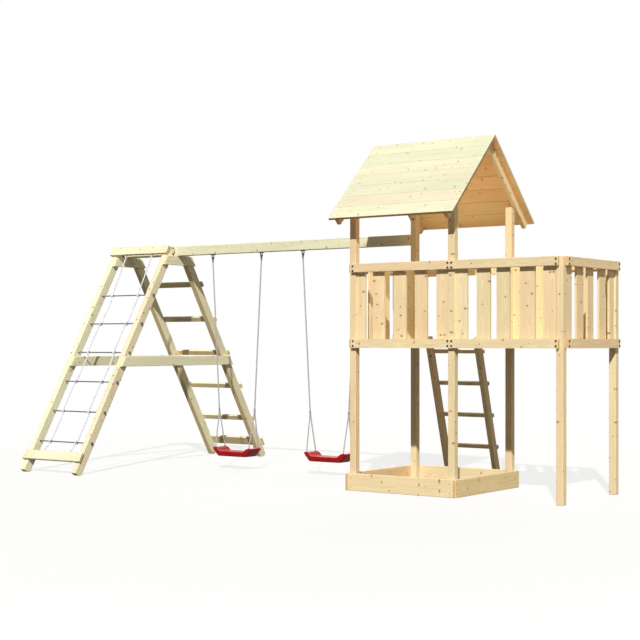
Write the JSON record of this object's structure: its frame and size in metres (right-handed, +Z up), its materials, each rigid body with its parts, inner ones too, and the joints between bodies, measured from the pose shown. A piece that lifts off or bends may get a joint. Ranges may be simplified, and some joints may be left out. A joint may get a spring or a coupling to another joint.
{
  "type": "play tower with swing",
  "caption": "Timber play tower with gable roof, raised platform, ladder and sandbox, joined by a beam with two swings to an A-shaped climbing frame with a rope net.",
  "frame": {"origin": "on the ground, under the middle of the object's bounding box; the swing beam lies over y = 0", "axes": "+Z up, +X along the swing beam from the climbing frame to the platform, +Y from the tower's front to the ladder at its rear"},
  "size_m": [5.6176, 2.9034, 2.9896],
  "materials": {
    "pine": "planed, untreated",
    "roof_pine": "planed, sunlit",
    "net_rope": "braided rope",
    "swing_rope": "laid rope",
    "red_plastic": "moulded",
    "dark_steel": "satin"
  },
  "bodies": {
    "frame": {"tower_post_front_left": "pine", "tower_post_front_right": "pine", "tower_post_rear_left": "pine", "tower_post_rear_right": "pine", "platform_post_front": "pine", "platform_post_rear": "pine", "railing_front_tower": "pine", "top_rail_front_tower": "pine", "railing_front_platform": "pine", "top_rail_front_platform": "pine", "railing_side_platform": "pine", "top_rail_side_platform": "pine", "railing_rear_platform": "pine", "top_rail_rear_platform": "pine", "railing_side_tower": "pine", "top_rail_side_tower": "pine", "top_rail_rear_tower": "pine", "low_rail_rear_tower": "pine", "deck_tower": "pine", "deck_platform": "pine", "sandbox_board_left": "pine", "sandbox_board_right": "pine", "sandbox_board_front": "pine", "sandbox_board_rear": "pine", "roof_front": "roof_pine", "roof_rear": "roof_pine", "rafter_front_left": "pine", "rafter_front_right": "pine", "rafter_rear_left": "pine", "rafter_rear_right": "pine", "access_ladder": "pine", "climb_leg_front_left": "pine", "climb_leg_front_right": "pine", "climb_leg_rear_left": "pine", "climb_leg_rear_right": "pine", "swing_beam": "pine", "climb_collar_left": "pine", "climb_collar_right": "pine", "climb_mid_bar_left": "pine", "climb_mid_bar_right": "pine", "climb_top_board": "pine", "climb_foot_board_front": "pine", "climb_foot_board_rear": "pine", "climb_rung_1": "pine", "climb_rung_2": "pine", "climb_rung_3": "pine", "climb_rung_4": "pine", "climb_rung_5": "pine", "climb_net": "net_rope", "swing_1_hook_left": "dark_steel", "swing_1_hook_right": "dark_steel", "swing_2_hook_left": "dark_steel", "swing_2_hook_right": "dark_steel"},
    "swing_1": {"swing_1_seat": "red_plastic", "swing_1_rope_left": "swing_rope", "swing_1_rope_right": "swing_rope"},
    "swing_2": {"swing_2_seat": "red_plastic", "swing_2_rope_left": "swing_rope", "swing_2_rope_right": "swing_rope"}
  },
  "joints": [
    {"name": "swing_1_hinge", "type": "hinge", "parent": "frame", "child": "swing_1", "pos_m": [-1.2585, 0, 2.1007], "axis": [1, 0, 0], "range_deg": [-50, 50]},
    {"name": "swing_2_hinge", "type": "hinge", "parent": "frame", "child": "swing_2", "pos_m": [-0.1345, 0, 2.1007], "axis": [1, 0, 0], "range_deg": [-50, 50]}
  ]
}
